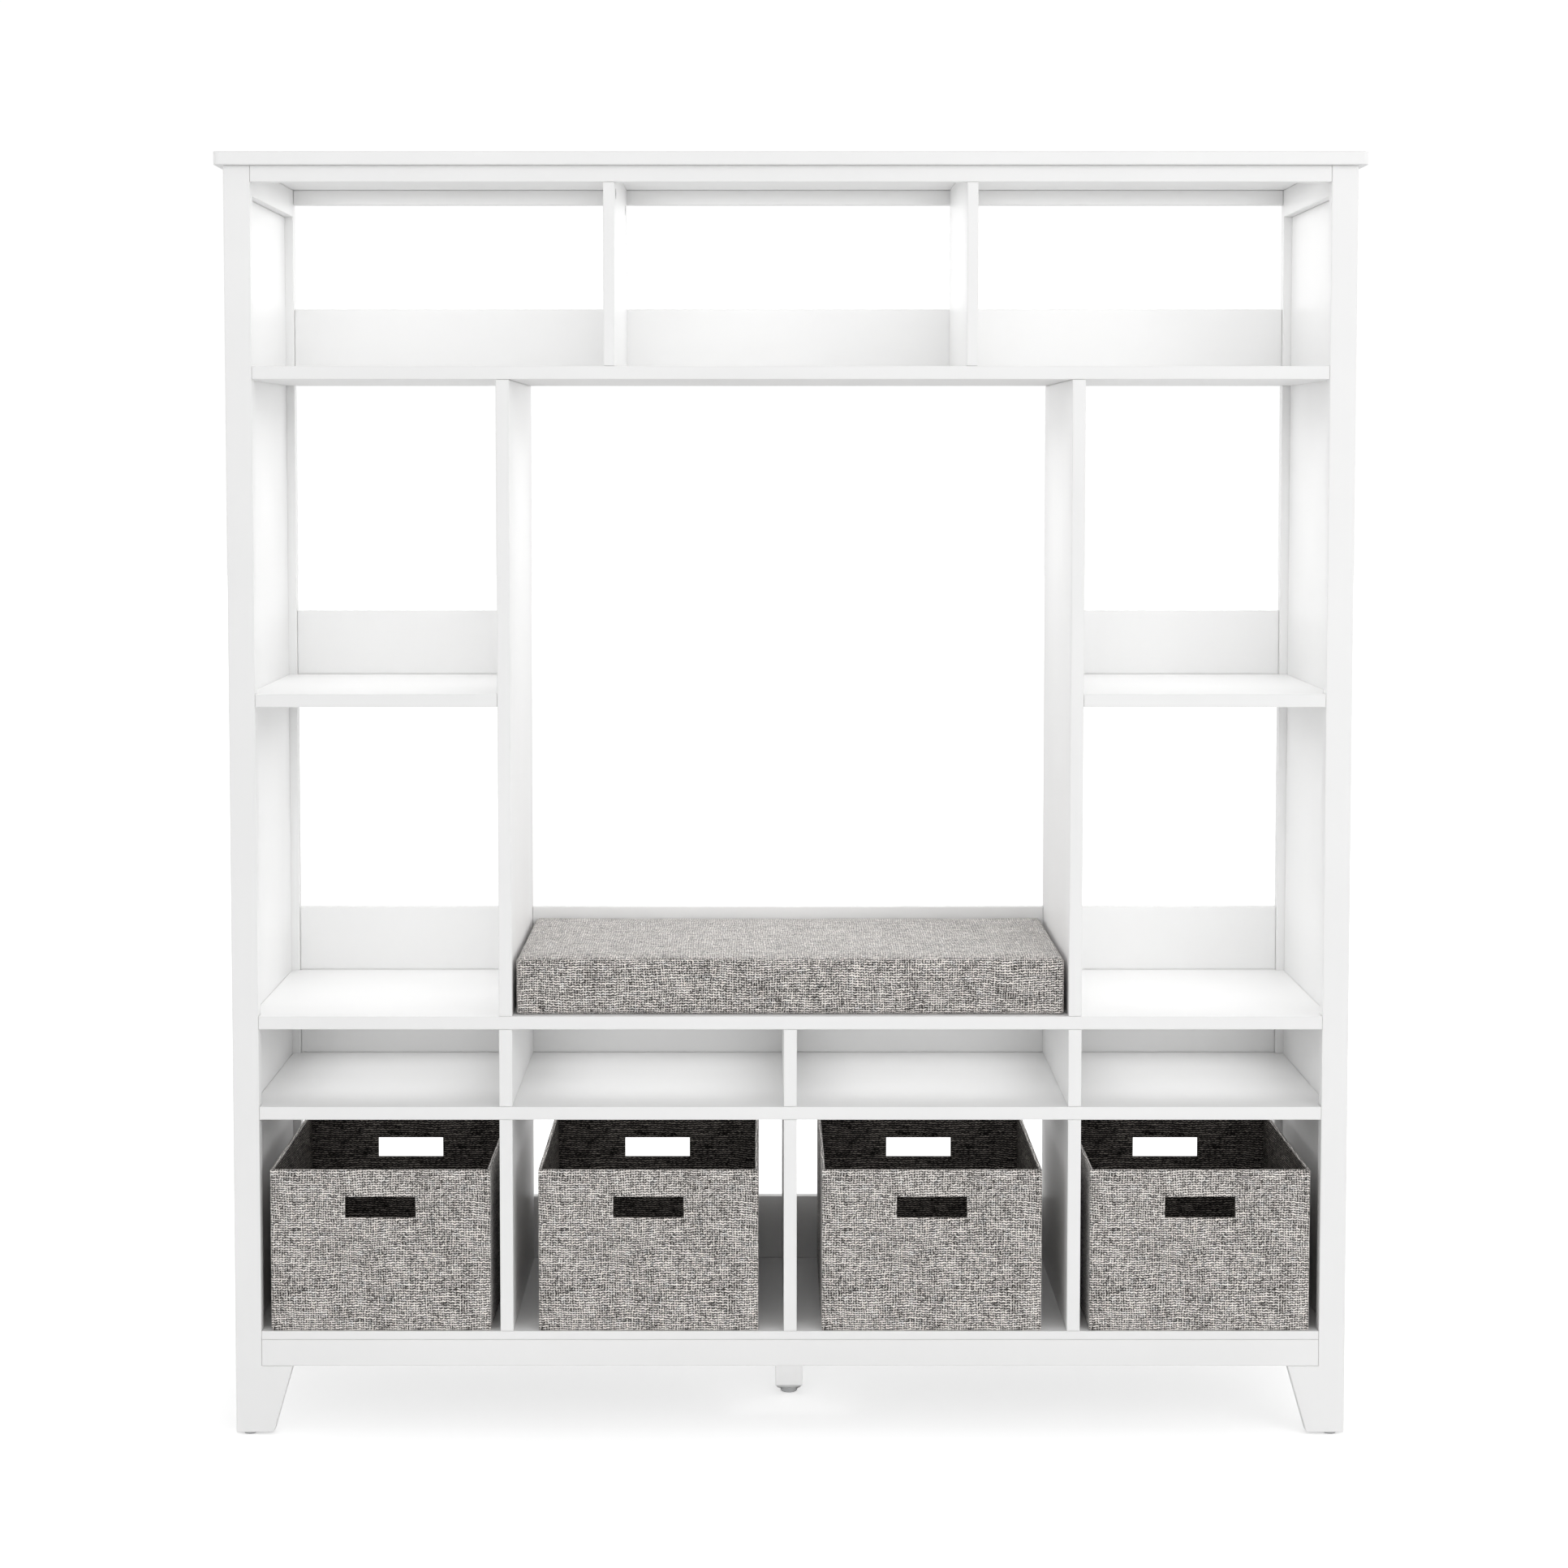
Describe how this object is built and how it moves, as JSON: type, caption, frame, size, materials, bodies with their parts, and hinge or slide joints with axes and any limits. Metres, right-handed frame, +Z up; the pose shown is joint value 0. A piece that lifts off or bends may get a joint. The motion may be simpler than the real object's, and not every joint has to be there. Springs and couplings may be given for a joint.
{
  "type": "hall tree",
  "caption": "White entryway unit with open upper cubbies, side shelves, a cushioned bench, a shoe row and fabric bins that slide out. It has no hooks.",
  "frame": {"origin": "on the floor, under the middle of the bounding box", "axes": "+Z up, the open front faces -Y, +X to the right as seen from the front"},
  "size_m": [1.564, 0.412, 1.77],
  "materials": {
    "white_paint": "satin white paint on board",
    "grey_tweed": "coarse grey tweed, light and dark threads",
    "dark_lining": "dark woven lining",
    "zinc_casting": "zinc die casting",
    "grey_plastic": "moulded grey plastic"
  },
  "bodies": {
    "cabinet": {"bench_back_rail_centre": "white_paint", "bench_back_rail_left": "white_paint", "bench_back_rail_right": "white_paint", "bench_top": "white_paint", "bin_divider_centre": "white_paint", "bin_divider_left": "white_paint", "bin_divider_right": "white_paint", "bottom_back_rail": "white_paint", "bottom_shelf": "white_paint", "cam_lock_front_left": "zinc_casting", "cam_lock_front_right": "zinc_casting", "cam_lock_rear_left": "zinc_casting", "cam_lock_rear_right": "zinc_casting", "centre_support": "white_paint", "corner_glide_front_left": "grey_plastic", "corner_glide_front_right": "grey_plastic", "corner_glide_rear_left": "grey_plastic", "corner_glide_rear_right": "grey_plastic", "front_apron": "white_paint", "front_bottom_rail": "white_paint", "mid_back_rail_left": "white_paint", "mid_back_rail_right": "white_paint", "mid_shelf_left": "white_paint", "mid_shelf_right": "white_paint", "post_front_left": "white_paint", "post_front_right": "white_paint", "post_rear_left": "white_paint", "post_rear_right": "white_paint", "rear_bottom_rail": "white_paint", "shoe_back_panel": "white_paint", "shoe_divider_centre": "white_paint", "shoe_divider_left": "white_paint", "shoe_divider_right": "white_paint", "shoe_shelf": "white_paint", "side_bottom_rail_left": "white_paint", "side_bottom_rail_right": "white_paint", "side_panel_left": "white_paint", "side_panel_right": "white_paint", "side_top_rail_left": "white_paint", "side_top_rail_right": "white_paint", "top_back_rail": "white_paint", "top_board": "white_paint", "upper_back_rail": "white_paint", "upper_divider_left": "white_paint", "upper_divider_right": "white_paint", "upper_shelf": "white_paint", "upright_left": "white_paint", "upright_right": "white_paint"},
    "cushion": {"cushion": "grey_tweed"},
    "centre_leveller": {"centre_leveller": "grey_plastic"},
    "bin_1": {"bin_1_shell": "grey_tweed"},
    "bin_1_insert": {"bin_1_insert": "dark_lining"},
    "bin_2": {"bin_2_shell": "grey_tweed"},
    "bin_2_insert": {"bin_2_insert": "dark_lining"},
    "bin_3": {"bin_3_shell": "grey_tweed"},
    "bin_3_insert": {"bin_3_insert": "dark_lining"},
    "bin_4": {"bin_4_shell": "grey_tweed"},
    "bin_4_insert": {"bin_4_insert": "dark_lining"}
  },
  "joints": [
    {"name": "cushion_slide", "type": "slide", "parent": "cabinet", "child": "cushion", "axis": [0, -1, 0], "range_m": [0, 0.4]},
    {"name": "centre_leveller_screw", "type": "slide", "parent": "cabinet", "child": "centre_leveller", "axis": [0, 0, -1], "range_m": [0, 0.01]},
    {"name": "bin_1_slide", "type": "slide", "parent": "cabinet", "child": "bin_1", "axis": [0, -1, 0], "range_m": [0, 0.4]},
    {"name": "bin_1_insert_lift", "type": "slide", "parent": "bin_1", "child": "bin_1_insert", "axis": [0, 0, 1], "range_m": [0, 0.24]},
    {"name": "bin_2_slide", "type": "slide", "parent": "cabinet", "child": "bin_2", "axis": [0, -1, 0], "range_m": [0, 0.4]},
    {"name": "bin_2_insert_lift", "type": "slide", "parent": "bin_2", "child": "bin_2_insert", "axis": [0, 0, 1], "range_m": [0, 0.24]},
    {"name": "bin_3_slide", "type": "slide", "parent": "cabinet", "child": "bin_3", "axis": [0, -1, 0], "range_m": [0, 0.4]},
    {"name": "bin_3_insert_lift", "type": "slide", "parent": "bin_3", "child": "bin_3_insert", "axis": [0, 0, 1], "range_m": [0, 0.24]},
    {"name": "bin_4_slide", "type": "slide", "parent": "cabinet", "child": "bin_4", "axis": [0, -1, 0], "range_m": [0, 0.4]},
    {"name": "bin_4_insert_lift", "type": "slide", "parent": "bin_4", "child": "bin_4_insert", "axis": [0, 0, 1], "range_m": [0, 0.24]}
  ]
}
